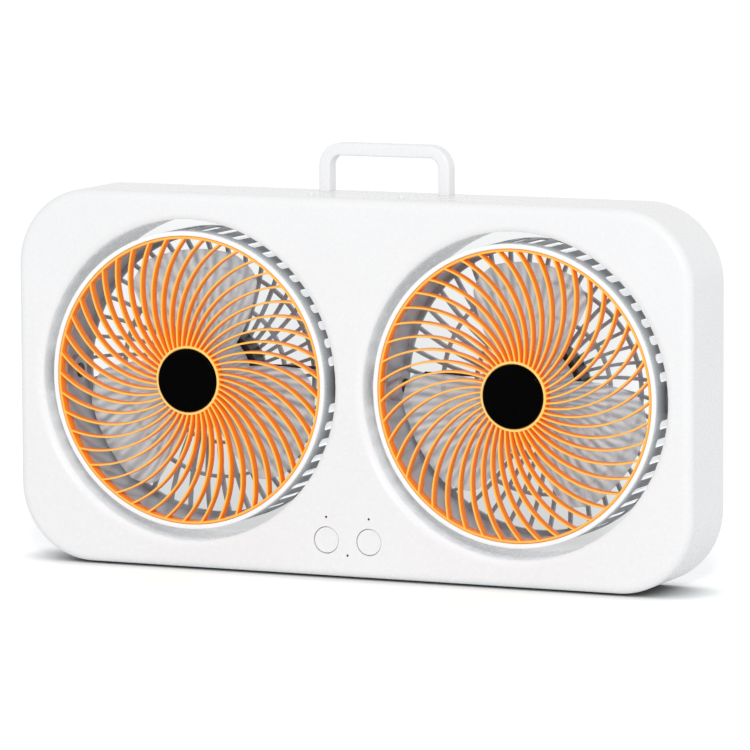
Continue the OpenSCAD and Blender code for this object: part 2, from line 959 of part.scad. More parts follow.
// Rear guard: rim, a shallow cone of curved bars, two rings and the motor plate
module rear_guard() {
    slope = (guard_in_y - guard_out_y) / (grille_r - plate_r);
    color(GREY)
        difference() {
            union() {
                tube_y(drum_r, drum_r - guard_rim_w, drum_back, drum_back + guard_rim_t);
                rod_y(plate_r, plate_front, plate_back);
                for (r = guard_rings)
                    tube_y(r + guard_bar_w / 2, r - guard_bar_w / 2,
                        guard_in_y - slope * (r - plate_r), guard_in_y - slope * (r - plate_r) + guard_t);
                intersection() {
                    lathe()
                        polygon([[plate_r - 1, guard_in_y], [grille_r, guard_out_y],
                            [grille_r, guard_out_y + guard_t], [plate_r - 1, guard_in_y + guard_t]]);
                    for (k = [0 : guard_bars - 1])
                        rotate([0, -k * 360 / guard_bars, 0])
                            mirror([0, 0, 1])
                                swirl_bar(guard_arc_r, guard_arc_r, plate_r - 1, grille_r - 0.5, guard_bar_w,
                                    guard_out_y - 1, guard_back + 1);
                }
            }
            at_motor_screws()
                rod_y(small_screw_r + fit_gap, plate_front - 1, plate_back + 1);
        }
}

module at_motor_screws() {
    for (sx = [-1, 1])
        translate([sx * motor_r * 0.55, 0, 0])
            children();
}

// Cup that holds the motor on the rear guard
module motor_cup() {
    color(BLACK)
        difference() {
            rod_y(plate_r, cup_front, plate_front);
            rod_y(plate_r - cup_wall, cup_front - 1, motor_back);
            box([plate_r - 5, cup_front - 1, head_lead_z - 1.5],
                [plate_r + 1, head_lead_y + 1.5, head_lead_z + 1.5]);
            at_motor_screws()
                rod_y(small_screw_r + fit_gap, motor_back - 1, plate_front + 1);
        }
}

module motor() {
    color(STEEL)
        difference() {
            union() {
                lathe()
                    polygon([[0, motor_front], [motor_r - 1, motor_front], [motor_r, motor_front + 1],
                        [motor_r, motor_back], [0, motor_back]]);
                rod_y(shaft_r + 2.5, motor_front - 1.2, motor_front + 1);
            }
            rod_y(shaft_r + axle_clear, motor_front - 3, shaft_back + 0.5);
            at_motor_screws()
                rod_y(small_screw_r + axle_clear, motor_back - 4, motor_back + 1);
        }
}

module motor_shaft() {
    color(STEEL)
        rod_y(shaft_r, shaft_front, shaft_back);
}

module motor_screws() {
    color(STEEL)
        at_motor_screws()
            translate([0, plate_back, 0])
                screw_y(small_screw_r, plate_t + cup_wall + 3, small_head_r, small_head_t);
}

// The head's own stretch of the motor lead, along the rear guard to the hollow axle
module head_lead() {
    color(BLACK)
        wire([
            [motor_r - 0.3, head_lead_y, head_lead_z],
            [drum_in_r - 15, head_lead_y, head_lead_z],
            [boss_in_inner - 2.3, 3.7, 2],
            [boss_in_inner - 1.3, 0.5, 0.3],
            [pad_in - 1, 0, 0]
        ], lead_r);
}

// Blade outline: share of the full span at u, from 0 at the hub to 1 at the tip
function blade_width(u) =
    (1 - 0.31 * u) * (u > 0.8 ? sqrt(1 - pow((u - 0.8) / 0.2, 2) * 0.6) : 1);

// A point on a blade; v runs from 0 to 1 across it and side picks the front or back face
function blade_point(u, v, side) =
    let (
        r = hub_r - 1 + u * (tip_r - hub_r + 1),
        a = blade_sweep * u + blade_root_span * blade_width(u) * (v - 0.5),
        camber = 2.2 * (1 - pow(2 * v - 1, 2)),
        y = blade_mid_y - blade_rise * (0.95 + 0.25 * u) * blade_width(u) * (v - 0.5) + camber - 1
    )
    [r * cos(a), y + side * blade_t / 2, r * sin(a)];

function blade_index(i, j, k, nu, nv) = k * (nu + 1) * (nv + 1) + i * (nv + 1) + j;

function quad(a, b, c, d) = [[a, b, c], [a, c, d]];

// One twisted blade as a closed grid of triangles
module blade() {
    nu = 10;
    nv = 8;
    points = [for (side = [-1, 1]) for (i = [0 : nu]) for (j = [0 : nv])
        blade_point(1 - pow(1 - i / nu, 1.5), j / nv, side)];
    faces = [
        for (i = [0 : nu - 1]) for (j = [0 : nv - 1]) each concat(
            quad(blade_index(i, j, 0, nu, nv), blade_index(i, j + 1, 0, nu, nv),
                blade_index(i + 1, j + 1, 0, nu, nv), blade_index(i + 1, j, 0, nu, nv)),
            quad(blade_index(i, j, 1, nu, nv), blade_index(i + 1, j, 1, nu, nv),
                blade_index(i + 1, j + 1, 1, nu, nv), blade_index(i, j + 1, 1, nu, nv))),
        for (i = [0 : nu - 1]) each concat(
            quad(blade_index(i, 0, 0, nu, nv), blade_index(i + 1, 0, 0, nu, nv),
                blade_index(i + 1, 0, 1, nu, nv), blade_index(i, 0, 1, nu, nv)),
            quad(blade_index(i, nv, 0, nu, nv), blade_index(i, nv, 1, nu, nv),
                blade_index(i + 1, nv, 1, nu, nv), blade_index(i + 1, nv, 0, nu, nv))),
        for (j = [0 : nv - 1]) each concat(
            quad(blade_index(0, j, 0, nu, nv), blade_index(0, j, 1, nu, nv),
                blade_index(0, j + 1, 1, nu, nv), blade_index(0, j + 1, 0, nu, nv)),
            quad(blade_index(nu, j, 0, nu, nv), blade_index(nu, j + 1, 0, nu, nv),
                blade_index(nu, j + 1, 1, nu, nv), blade_index(nu, j, 1, nu, nv)))
    ];
    polyhedron(points, faces);
}

// Fan: a cupped hub on the shaft and its blades
module impeller() {
    color(SMOKE)
        difference() {
            union() {
                lathe()
                    polygon([[0, hub_front], [hub_r - 3, hub_front], [hub_r - 0.9, hub_front + 0.9],
                        [hub_r, hub_front + 3], [hub_r, hub_back], [0, hub_back]]);
                for (k = [0 : blade_count - 1])
                    rotate([0, -(blade_phase + k * 360 / blade_count), 0])
                        blade();
            }
            lathe()
                polygon([[4, hub_front + hub_wall], [hub_r - hub_wall, hub_front + hub_wall + 1.5],
                    [hub_r - hub_wall, hub_back + 1], [0, hub_back + 1], [0, motor_front - 2.2],
                    [4, motor_front - 2.2]]);
            rod_y(shaft_r + 0.02, shaft_front, hub_back);
        }
}

module head_part(name, side) {
    at_head(side) {
        if (name == "front_grille") front_grille();
        if (name == "hub_cap") hub_cap();
        if (name == "trim_ring") trim_ring();
        if (name == "drum") drum();
        if (name == "rear_guard") rear_guard();
        if (name == "motor_cup") motor_cup();
        if (name == "motor") motor();
        if (name == "motor_shaft") motor_shaft();
        if (name == "impeller") impeller();
        if (name == "head_lead") head_lead();
        if (name == "motor_screws") motor_screws();
        if (name == "outer_axle") outer_axle();
        if (name == "inner_axle") inner_axle();
    }
}

front_shell();
rear_cover();
cover_screws();
rubber_feet();
top_studs();
handle();
push_button(-1);  // left_button
push_button(1);  // right_button
plunger(-1);  // left_plunger
plunger(1);  // right_plunger
tact_switches();
switch_board();
light_pipes();
charge_board();
charge_socket();
board_screws();
battery_pack();
battery_tray();
tray_screws();
battery_leads();
motor_lead(-1);  // left_motor_lead
motor_lead(1);  // right_motor_lead
friction_washers();
head_part("outer_axle", -1);  // left_outer_axle
head_part("outer_axle", 1);  // right_outer_axle
head_part("inner_axle", -1);  // left_inner_axle
head_part("inner_axle", 1);  // right_inner_axle
head_part("front_grille", -1);  // left_front_grille
head_part("front_grille", 1);  // right_front_grille
head_part("hub_cap", -1);  // left_hub_cap
head_part("hub_cap", 1);  // right_hub_cap
head_part("trim_ring", -1);  // left_trim_ring
head_part("trim_ring", 1);  // right_trim_ring
head_part("drum", -1);  // left_drum
head_part("drum", 1);  // right_drum
head_part("rear_guard", -1);  // left_rear_guard
head_part("rear_guard", 1);  // right_rear_guard
head_part("motor_cup", -1);  // left_motor_cup
head_part("motor_cup", 1);  // right_motor_cup
head_part("motor", -1);  // left_motor
head_part("motor", 1);  // right_motor
head_part("motor_shaft", -1);  // left_motor_shaft
head_part("motor_shaft", 1);  // right_motor_shaft
head_part("impeller", -1);  // left_impeller
head_part("impeller", 1);  // right_impeller
head_part("head_lead", -1);  // left_head_lead
head_part("head_lead", 1);  // right_head_lead
head_part("motor_screws", -1);  // left_motor_screws
head_part("motor_screws", 1);  // right_motor_screws
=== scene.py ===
# %% [markdown]
# # A dual-head desk fan
# The real thing is a flat white case with two round openings. In each one hangs a round fan head
# that tilts on two pivots. Each head has an orange swirl grille, a slotted silver drum, a grey rear
# guard and a pale fan. The CAD model is loaded as a fixed frame, and the looks are built round it.

# %% Load the frame
import math

import bpy
from mathutils import Matrix, Vector


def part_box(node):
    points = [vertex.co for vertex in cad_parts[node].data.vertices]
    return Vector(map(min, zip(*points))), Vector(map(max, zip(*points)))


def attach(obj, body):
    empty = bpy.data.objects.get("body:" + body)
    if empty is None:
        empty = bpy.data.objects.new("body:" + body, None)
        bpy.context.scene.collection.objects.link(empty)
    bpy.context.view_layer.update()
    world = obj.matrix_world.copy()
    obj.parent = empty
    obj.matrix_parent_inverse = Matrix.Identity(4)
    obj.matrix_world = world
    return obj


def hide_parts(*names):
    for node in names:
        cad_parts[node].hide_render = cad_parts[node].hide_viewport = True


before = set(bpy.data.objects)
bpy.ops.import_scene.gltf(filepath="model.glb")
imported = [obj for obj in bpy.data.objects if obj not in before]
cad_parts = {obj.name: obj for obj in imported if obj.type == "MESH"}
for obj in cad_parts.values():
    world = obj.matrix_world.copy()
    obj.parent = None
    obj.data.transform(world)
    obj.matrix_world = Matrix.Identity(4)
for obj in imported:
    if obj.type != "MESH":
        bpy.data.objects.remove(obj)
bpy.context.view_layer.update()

# %% [markdown]
# ## Working by hand, in code
# Every piece is made as it would be at the screen: add a primitive, go into edit mode, shape it,
# come back. An operator acts on all that is selected, so the first helper makes sure that only one
# piece is. Sizes are given in millimetres, as on a drawing, and turned to metres in one place.

# %% Selection and units
MM = 0.001


def only(piece=None):
    """Goes to object mode and selects this piece alone, or nothing."""
    if bpy.context.mode != "OBJECT":
        bpy.ops.object.mode_set(mode="OBJECT")
    bpy.ops.object.select_all(action="DESELECT")
    if piece:
        piece.select_set(True)
        bpy.context.view_layer.objects.active = piece


def edit(piece):
    """Goes to edit mode on this piece with everything selected."""
    only(piece)
    bpy.ops.object.mode_set(mode="EDIT")
    bpy.ops.mesh.select_all(action="SELECT")


# %% Cleaning, joining and copying
TOUCHING = 0.002 * MM
MIRROR = Matrix.Scale(-1, 4, (1, 0, 0))


def clean(piece):
    """Merges doubled points and turns all faces outwards."""
    edit(piece)
    bpy.ops.mesh.remove_doubles(threshold=TOUCHING)
    bpy.ops.mesh.delete_loose()
    bpy.ops.mesh.select_all(action="SELECT")
    bpy.ops.mesh.normals_make_consistent(inside=False)
    only(piece)
    return piece


def join(name, pieces):
    """Joins pieces into one mesh."""
    only(pieces[0])
    for piece in pieces:
        piece.select_set(True)
    if len(pieces) > 1:
        bpy.ops.object.join()
    pieces[0].name = pieces[0].data.name = name
    return pieces[0]


def duplicate(piece, matrix, name="copy"):
    """A copy with its own mesh, moved by a matrix; a mirrored copy is turned right side out."""
    copy = piece.copy()
    copy.data = piece.data.copy()
    copy.name = copy.data.name = name
    bpy.context.collection.objects.link(copy)
    copy.data.transform(matrix)
    if matrix.determinant() < 0:
        copy.data.flip_normals()
    return copy


# %% [markdown]
# ## Where things are
# The grille nodes give the middle of each head. The left head is modelled, and the right one is its
# mirror image in the case's middle plane, which is how the two moulds differ on the real fan.
# The fan's sizes, in capitals, are in millimetres. HEAD and BUTTON are places, in metres.

# %% Places read from the frame
low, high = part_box("left_front_grille")
HEAD = Vector(((low.x + high.x) / 2, 0, (low.z + high.z) / 2))
RING_Y, RIM_BACK = low.y / MM, high.y / MM
GRILLE_R = (high.x - low.x) / 2 / MM
low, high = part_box("left_trim_ring")
DRUM_R, TRIM_BACK = (high.x - low.x) / 2 / MM, high.y / MM
low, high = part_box("front_shell")
FACE_Y, CASE_TOP = low.y / MM, high.z / MM
HEAD_GAP = 6.5
TUNNEL_R = DRUM_R + HEAD_GAP
print("left head at", [round(v / MM, 2) for v in HEAD], "front", round(RING_Y, 2))
print("radii: grille", round(GRILLE_R, 2), "drum", round(DRUM_R, 2), "tunnel", round(TUNNEL_R, 2))

# %% [markdown]
# ## Turned pieces
# Rims, caps, beads and knobs are bodies of revolution. An outline of (radius, depth) points is
# drawn as a closed loop, its corners are rounded as a moulding's are, and it is spun a full turn.

# %% Outlines and spinning
def rounded(corners, segments=4):
    """Rounds each corner (x, y, radius) of an outline with a short arc."""
    points = []
    for i, (x, y, radius) in enumerate(corners):
        here = Vector((x, y))
        if radius <= 0:
            points.append((x, y))
            continue
        back = (Vector(corners[i - 1][:2]) - here).normalized()
        on = (Vector(corners[(i + 1) % len(corners)][:2]) - here).normalized()
        half = back.angle(on) / 2
        centre = here + (back + on).normalized() * (radius / math.sin(half))
        first = here + back * (radius / math.tan(half)) - centre
        last = here + on * (radius / math.tan(half)) - centre
        turn = first.angle_signed(last)
        for k in range(segments + 1):
            a = -turn * k / segments
            points.append((
                centre.x + first.x * math.cos(a) - first.y * math.sin(a),
                centre.y + first.x * math.sin(a) + first.y * math.cos(a),
            ))
    return points


def turned(name, outline, steps=180, axis=(0, 1, 0)):
    """Spins an outline of (radius, distance along the axis) points, in mm, a full turn."""
    only()
    bpy.ops.mesh.primitive_circle_add(vertices=len(outline), radius=MM)
    piece = bpy.context.object
    piece.name = piece.data.name = name
    for vertex, (radius, along) in zip(piece.data.vertices, outline):
        vertex.co = Vector((radius, 0, 0)) * MM + Vector(axis) * along * MM
    edit(piece)
    bpy.ops.mesh.spin(steps=steps, angle=math.tau, center=(0, 0, 0), axis=axis)
    return clean(piece)


# %% [markdown]
# ## Materials
# Nearly everything here is moulded plastic. A material starts from its real name and the way its
# surface was made. Colours are written as sRGB hex, as a paint card gives them, and one function
# turns them into Blender's linear values. One more adds a node with its settings and its links.

# %% Colour and nodes
def linear(code, alpha=1.0):
    """An sRGB hex colour as Blender's linear RGBA."""
    values = [int(code[i:i + 2], 16) / 255 for i in (0, 2, 4)]
    return [v / 12.92 if v <= 0.04045 else ((v + 0.055) / 1.055) ** 2.4 for v in values] + [alpha]


def scale_for(mm):
    """The scale of a noise on Object coordinates whose pattern repeats about every mm."""
    return 1 / (mm * MM)


def add(tree, kind, inputs=None, **settings):
    """Adds a node, with its settings and its inputs' links or values."""
    node = tree.nodes.new(kind)
    for key, value in settings.items():
        setattr(node, key, value)
    for socket, value in (inputs or {}).items():
        if isinstance(value, bpy.types.NodeSocket):
            tree.links.new(value, node.inputs[socket])
        else:
            node.inputs[socket].default_value = value
    return node


def stops_on(ramp, stops):
    """Sets a colour ramp's stops from (position, sRGB hex) pairs."""
    for i, (at, code) in enumerate(stops):
        stop = ramp.color_ramp.elements[i] if i < 2 else ramp.color_ramp.elements.new(1)
        stop.position, stop.color = at, linear(code)


def blank(name):
    """A new material with an empty node tree."""
    material = bpy.data.materials.new(name)
    material.use_nodes = True
    material.node_tree.nodes.clear()
    return material, material.node_tree


print("mid grey 808080 in linear light:", round(linear("808080")[0], 3))

# %% [markdown]
# A moulded plastic is never one flat colour: the dye lies a little unevenly, and the mould's skin
# gives the surface its grain. So each one gets two close colours that its mottling moves between, a
# gloss that varies with the grain, and a relief. Grain and mottling are sizes in millimetres.

# %% A moulded plastic
def moulded(name, dark, light, mottle_mm, rough, grain_mm, relief_um, **shader):
    """Colours mottled over mottle_mm, and a relief relief_um deep about every grain_mm."""
    material, tree = blank(name)
    place = add(tree, "ShaderNodeTexCoord").outputs["Object"]
    mottle = add(tree, "ShaderNodeTexNoise", {
        "Vector": place, "Scale": scale_for(mottle_mm), "Detail": 2})
    ramp = add(tree, "ShaderNodeValToRGB", {"Fac": mottle.outputs["Fac"]})
    stops_on(ramp, [(0.3, dark), (0.7, light)])
    grain = add(tree, "ShaderNodeTexNoise", {
        "Vector": place, "Scale": scale_for(grain_mm), "Detail": 3})
    gloss = add(tree, "ShaderNodeMapRange", {
        "Value": grain.outputs["Fac"], "From Min": 0.3, "From Max": 0.7,
        "To Min": rough[0], "To Max": rough[1]})
    bump = add(tree, "ShaderNodeBump", {
        "Height": grain.outputs["Fac"], "Distance": relief_um * 1e-6})
    surface = add(tree, "ShaderNodeBsdfPrincipled", {
        "Base Color": ramp.outputs["Color"], "Roughness": gloss.outputs["Result"],
        "Normal": bump.outputs["Normal"], **shader})
    add(tree, "ShaderNodeOutputMaterial", {"Surface": surface.outputs[0]})
    print("material", name)
    return material


# %% Finishes of the outer plastics
# ABS from a polished mould is bright and smooth, with a faint waviness that only a glint shows.
WHITE_SKIN = ("f1f1f2", "f3f3f4", 60, (0.26, 0.28), 3, 0.4)
white_abs = moulded("White ABS, polished mould", *WHITE_SKIN,
                    IOR=1.53, **{"Specular IOR Level": 0.35})
# The tunnel walls of this white get a painted glow further on.
glowing_shell_abs = moulded("White ABS, painted glow in tunnels", *WHITE_SKIN,
                    IOR=1.53, **{"Specular IOR Level": 0.35})
# The hub caps' gloss is deep: nearly all of it is black, with no grey sheen over it.
black_gloss = moulded("Black ABS, high gloss", "010101", "030303", 20, (0.10, 0.16), 1.5, 0.6,
                      IOR=1.5, **{"Specular IOR Level": 0.02})
# A spark-eroded mould leaves a fine pebbled skin, which spreads each highlight into a soft sheen.
black_satin = moulded("Black ABS, satin", "1c1d1f", "232427", 8, (0.35, 0.5), 0.4, 8, IOR=1.5)
grey_satin = moulded("Grey ABS, satin", "98a3aa", "a4afb6", 10, (0.35, 0.5), 0.4, 8, IOR=1.5)
# Rubber is dull and rough to the touch.
rubber = moulded("Rubber, moulded", "1f1f20", "2a2a2b", 4, (0.6, 0.8), 0.25, 20, IOR=1.5)
# The lamps are off, so their smoked lenses are just small dark dots with a little shine.
lamp_lens = moulded("Smoked acrylic, lamp lens", "0c0c0d", "121213", 2, (0.1, 0.2), 0.3, 1,
                    IOR=1.49, **{"Specular IOR Level": 0.2})

# %% Finishes of the inner parts
# Solder mask is a green lacquer that the weave of the glass cloth shows through faintly.
board_green = moulded("Solder mask on glass laminate", "0f4a28", "17643a", 3, (0.3, 0.45), 0.3, 10,
                      IOR=1.5)
# Shrink wrap is shiny and lies a little uneven over the cells.
pack_wrap = moulded("PVC shrink wrap, blue", "2460a8", "2f70bb", 9, (0.2, 0.35), 1.5, 30, IOR=1.53)
# Wire insulation is drawn through a die and has a dull shine.
red_pvc = moulded("PVC insulation, red", "a01818", "b42424", 3, (0.3, 0.45), 0.5, 5, IOR=1.5)
black_pvc = moulded("PVC insulation, black", "161616", "222222", 3, (0.35, 0.5), 0.5, 5, IOR=1.5)
# Zinc plate on steel is a pale metal with a slightly cloudy shine.
zinc_steel = moulded("Zinc-plated steel", "b9bcc0", "cfd2d5", 1.5, (0.25, 0.42), 0.2, 4,
                     Metallic=1.0)

# %% [markdown]
# ## Bright orange, and the pale bead
# The grille is ABS with a bright orange dye. Its colour follows the depth from front to back: the
# thin front edges of the fins are painted a pale yellow, which is a painted highlight, and their
# deep sides a full orange, which is painted shade. The bead round it is white in front, and its
# side is painted a darker silver-grey towards the drum, which is painted shade. The orange also
# glows a little, which is painted light.

# %% Colours that follow the depth
def layered(name, stops, glow, specular):
    """A plastic whose colour runs through stops of (mm behind the grille's front, sRGB hex)."""
    material, tree = blank(name)
    place = add(tree, "ShaderNodeTexCoord").outputs["Object"]
    depth = add(tree, "ShaderNodeSeparateXYZ", {0: place}).outputs["Y"]
    last = stops[-1][0]
    share = add(tree, "ShaderNodeMapRange", {
        "Value": depth, "From Min": RING_Y * MM, "From Max": (RING_Y + last) * MM})
    ramp = add(tree, "ShaderNodeValToRGB", {"Fac": share.outputs["Result"]})
    stops_on(ramp, [(mm / last, code) for mm, code in stops])
    grain = add(tree, "ShaderNodeTexNoise", {
        "Vector": place, "Scale": scale_for(0.8), "Detail": 2})
    gloss = add(tree, "ShaderNodeMapRange", {
        "Value": grain.outputs["Fac"], "To Min": 0.2, "To Max": 0.36})
    bump = add(tree, "ShaderNodeBump", {"Height": grain.outputs["Fac"], "Distance": 3e-6})
    # The emission makes the plastic glow a little, which is painted light.
    surface = add(tree, "ShaderNodeBsdfPrincipled", {
        "Base Color": ramp.outputs["Color"], "Emission Color": ramp.outputs["Color"],
        "Emission Strength": glow, "Roughness": gloss.outputs["Result"],
        "Normal": bump.outputs["Normal"], "IOR": 1.5, "Specular IOR Level": specular})
    add(tree, "ShaderNodeOutputMaterial", {"Surface": surface.outputs["BSDF"]})
    print("material", name)
    return material


# The pale front stops are a painted highlight, the deeper orange stops painted shade.
orange_abs = layered(
    "Orange ABS, painted highlights and glow",
    [(0, "ffd47c"), (0.45, "fdb850"), (0.8, "f99418"), (6.5, "f57f06")], 0.12, 0.08)
# The bead's greys towards its back are painted shade.
bead_abs = layered(
    "White ABS, painted shade on the side",
    [(0, "fbfbfb"), (0.7, "f6f7f7"), (1.3, "e4e6e8"), (5.0, "bcbfc2")], 0.0, 0.5)

# %% [markdown]
# ## Patterns that run round a head
# Three finishes follow the round shape of the heads, so they need to know how far a point is from
# the head's axis, and in which direction. The right head mirrors the left one, so the sign of X is
# dropped before the axis is taken off.

# %% Radius and angle round a head
def round_the_head(tree):
    """Sockets for a point's place, its distance from the head's axis in metres and its angle."""
    place = add(tree, "ShaderNodeTexCoord").outputs["Object"]
    axes = add(tree, "ShaderNodeSeparateXYZ", {0: place})
    x = add(tree, "ShaderNodeMath", {0: axes.outputs["X"]}, operation="ABSOLUTE")
    x = add(tree, "ShaderNodeMath", {0: x.outputs[0], 1: abs(HEAD.x)}, operation="SUBTRACT")
    z = add(tree, "ShaderNodeMath", {0: axes.outputs["Z"], 1: HEAD.z}, operation="SUBTRACT")
    flat = add(tree, "ShaderNodeCombineXYZ", {0: x.outputs[0], 1: z.outputs[0]})
    radius = add(tree, "ShaderNodeVectorMath", {0: flat.outputs[0]}, operation="LENGTH")
    angle = add(tree, "ShaderNodeMath", {0: z.outputs[0], 1: x.outputs[0]}, operation="ARCTAN2")
    return place, radius.outputs["Value"], angle.outputs[0]


print("head axes at x", round(abs(HEAD.x) / MM, 2), "mm either side, z", round(HEAD.z / MM, 2))

# %% [markdown]
# The blades are AS, a clear stiff plastic with a little grey dye. Part of the light glows through
# them and part passes unchanged, so the guard's bars show faintly behind. Fine streaks run out from
# the hub, stronger in some places than in others: they are painted shadows of the grille's fins. A
# sine of the angle draws them, and a broad noise lets them wander and fade. The blades also glow a
# little of their own, which is painted light.

# %% Smoky blades
def smoky_blades(dark, light, shadow_streaks, wander, through, clear):
    """Smoky plastic with painted fin shadows as streaks from the hub out, a painted glow, and
    shares of light that glow through or pass.
    """
    material, tree = blank("Smoky translucent AS, fan blades")
    place, _, angle = round_the_head(tree)
    patch = add(tree, "ShaderNodeTexNoise", {
        "Vector": place, "Scale": scale_for(30), "Detail": 1}).outputs["Fac"]
    # These streaks are painted shadows of the fins.
    turn = add(tree, "ShaderNodeMath", {0: patch, 1: wander, 2: angle}, operation="MULTIPLY_ADD")
    turn = add(tree, "ShaderNodeMath", {0: turn.outputs[0], 1: shadow_streaks}, operation="MULTIPLY")
    wave = add(tree, "ShaderNodeMath", {0: turn.outputs[0]}, operation="SINE")
    strength = add(tree, "ShaderNodeMapRange", {
        "Value": patch, "From Min": 0.4, "From Max": 0.6, "To Min": 0.2, "To Max": 0.5})
    share = add(tree, "ShaderNodeMath", {0: wave.outputs[0], 1: strength.outputs[0], 2: 0.5},
                operation="MULTIPLY_ADD")
    ramp = add(tree, "ShaderNodeValToRGB", {"Fac": share.outputs[0]})
    stops_on(ramp, [(0.0, dark), (1.0, light)])
    grain = add(tree, "ShaderNodeTexNoise", {"Vector": place, "Scale": scale_for(2), "Detail": 2})
    gloss = add(tree, "ShaderNodeMapRange", {
        "Value": grain.outputs["Fac"], "To Min": 0.26, "To Max": 0.36})
    bump = add(tree, "ShaderNodeBump", {"Height": grain.outputs["Fac"], "Distance": 1.5e-6})
    # The emission below is a painted glow that lightens the blades.
    skin = add(tree, "ShaderNodeBsdfPrincipled", {
        "Base Color": ramp.outputs["Color"], "Roughness": gloss.outputs["Result"],
        "Normal": bump.outputs["Normal"], "IOR": 1.56, "Emission Color": linear("d6eaee"),
        "Emission Strength": 0.36})
    inner = add(tree, "ShaderNodeBsdfTranslucent", {"Color": ramp.outputs["Color"]})
    mixed = add(tree, "ShaderNodeMixShader", {0: through, 1: skin.outputs[0], 2: inner.outputs[0]})
    glass = add(tree, "ShaderNodeBsdfTransparent")
    mixed = add(tree, "ShaderNodeMixShader", {0: clear, 1: mixed.outputs[0], 2: glass.outputs[0]})
    add(tree, "ShaderNodeOutputMaterial", {"Surface": mixed.outputs[0]})
    print("material", material.name)
    return material


smoke_as = smoky_blades("a6b4be", "fafbfb", shadow_streaks=72, wander=0.2, through=0.6, clear=0.38)

# %% [markdown]
# The walls of the tunnels get a faint emission, a painted glow that makes them paler than their
# depth would make them, most of all near the mouth. The emission is on the walls alone:
# the distance from the axis finds the walls, and the depth behind the face fades it.

# %% Walls with a painted glow
def painted_wall_glow(material, mouth, deep):
    """Adds a painted glow to the tunnel walls: this much at the mouth and less further in."""
    tree = material.node_tree
    place, radius, _ = round_the_head(tree)
    depth = add(tree, "ShaderNodeSeparateXYZ", {0: place}).outputs["Y"]
    wall = add(tree, "ShaderNodeMapRange", {
        "Value": radius, "From Min": TUNNEL_R * MM, "From Max": (TUNNEL_R + 4) * MM,
        "To Min": 1.0, "To Max": 0.0})
    behind = add(tree, "ShaderNodeMapRange", {
        "Value": depth, "From Min": FACE_Y * MM, "From Max": (FACE_Y + 3) * MM})
    fading = add(tree, "ShaderNodeMapRange", {
        "Value": depth, "From Min": (FACE_Y + 3) * MM, "From Max": (FACE_Y + 14) * MM,
        "To Min": mouth, "To Max": deep})
    power = add(tree, "ShaderNodeMath", {0: wall.outputs[0], 1: behind.outputs[0]},
                operation="MULTIPLY")
    power = add(tree, "ShaderNodeMath", {0: power.outputs[0], 1: fading.outputs[0]},
                operation="MULTIPLY")
    # The emission on the walls is painted light.
    surface = tree.nodes["Principled BSDF"]
    surface.inputs["Emission Color"].default_value = linear("ffffff")
    tree.links.new(power.outputs[0], surface.inputs["Emission Strength"])
    print(material.name, "passes light at radius", round(TUNNEL_R, 1), "mm")


painted_wall_glow(glowing_shell_abs, mouth=0.2, deep=0.07)

# %% [markdown]
# The drum is grey ABS with silver paint on the outside only. The paint is darker towards the back,
# which is painted shade. The slot floors are pale and glow a little, which is painted light. The
# distance from the axis tells the bare inside, the slot floors and the painted outside apart.

# %% Silver paint over grey
DRUM_WALL, SHADE_FADE = 2.4, 9


def painted_drum(bare, painted_slot_light, near, far):
    """Grey plastic inside, pale glowing slot floors as painted light, and silver paint outside with
    painted shade at the back.
    """
    material, tree = blank("Silver paint on grey ABS, painted shade and glow")
    place, radius, _ = round_the_head(tree)
    share = add(tree, "ShaderNodeMapRange", {
        "Value": radius, "From Min": (DRUM_R - DRUM_WALL) * MM,
        "From Max": DRUM_R * MM}).outputs["Result"]
    ramp = add(tree, "ShaderNodeValToRGB", {"Fac": share})
    stops_on(ramp, [(0.15, bare), (0.25, painted_slot_light)])
    depth = add(tree, "ShaderNodeSeparateXYZ", {0: place}).outputs["Y"]
    length = add(tree, "ShaderNodeMapRange", {
        "Value": depth, "From Min": TRIM_BACK * MM, "From Max": (TRIM_BACK + SHADE_FADE) * MM})
    # Darker towards the back is painted shade.
    coat_and_shade = add(tree, "ShaderNodeValToRGB", {"Fac": length.outputs["Result"]})
    stops_on(coat_and_shade, [(0.0, near), (1.0, far)])
    outside = add(tree, "ShaderNodeMapRange", {"Value": share, "From Min": 0.7, "From Max": 0.8})
    # A Mix node has sockets for numbers, vectors and colours: 6, 7 and output 2 are the colours.
    colour = add(tree, "ShaderNodeMix", {
        0: outside.outputs["Result"], 6: ramp.outputs["Color"],
        7: coat_and_shade.outputs["Color"]}, data_type="RGBA").outputs[2]
    # The pale slot floors glow a little: painted light.
    thin = add(tree, "ShaderNodeValToRGB", {"Fac": share})
    stops_on(thin, [(0.25, "000000"), (0.3, "ffffff"), (0.65, "ffffff"), (0.7, "000000")])
    painted_slot_glow = add(tree, "ShaderNodeMath", {0: thin.outputs["Color"], 1: 0.45}, operation="MULTIPLY")
    grain = add(tree, "ShaderNodeTexNoise", {
        "Vector": place, "Scale": scale_for(0.35), "Detail": 2})
    gloss = add(tree, "ShaderNodeMapRange", {
        "Value": grain.outputs["Fac"], "To Min": 0.26, "To Max": 0.42})
    bump = add(tree, "ShaderNodeBump", {"Height": grain.outputs["Fac"], "Distance": 4e-6})
    surface = add(tree, "ShaderNodeBsdfPrincipled", {
        "Base Color": colour, "Roughness": gloss.outputs["Result"],
        "Normal": bump.outputs["Normal"], "IOR": 1.5, "Emission Color": ramp.outputs["Color"],
        "Emission Strength": painted_slot_glow.outputs[0]})
    add(tree, "ShaderNodeOutputMaterial", {"Surface": surface.outputs["BSDF"]})
    print("material", material.name)
    return material


silver_paint = painted_drum("b6c1ca", "f2f3f4", "bcbfc1", "7b7e82")

# %% [markdown]
# ## The camera
# Its angle, distance and lens were fitted to the photograph: about 24 degrees round to the fan's
# right, 7 degrees up, and far away with a long lens, so that the case's sides stay nearly parallel.

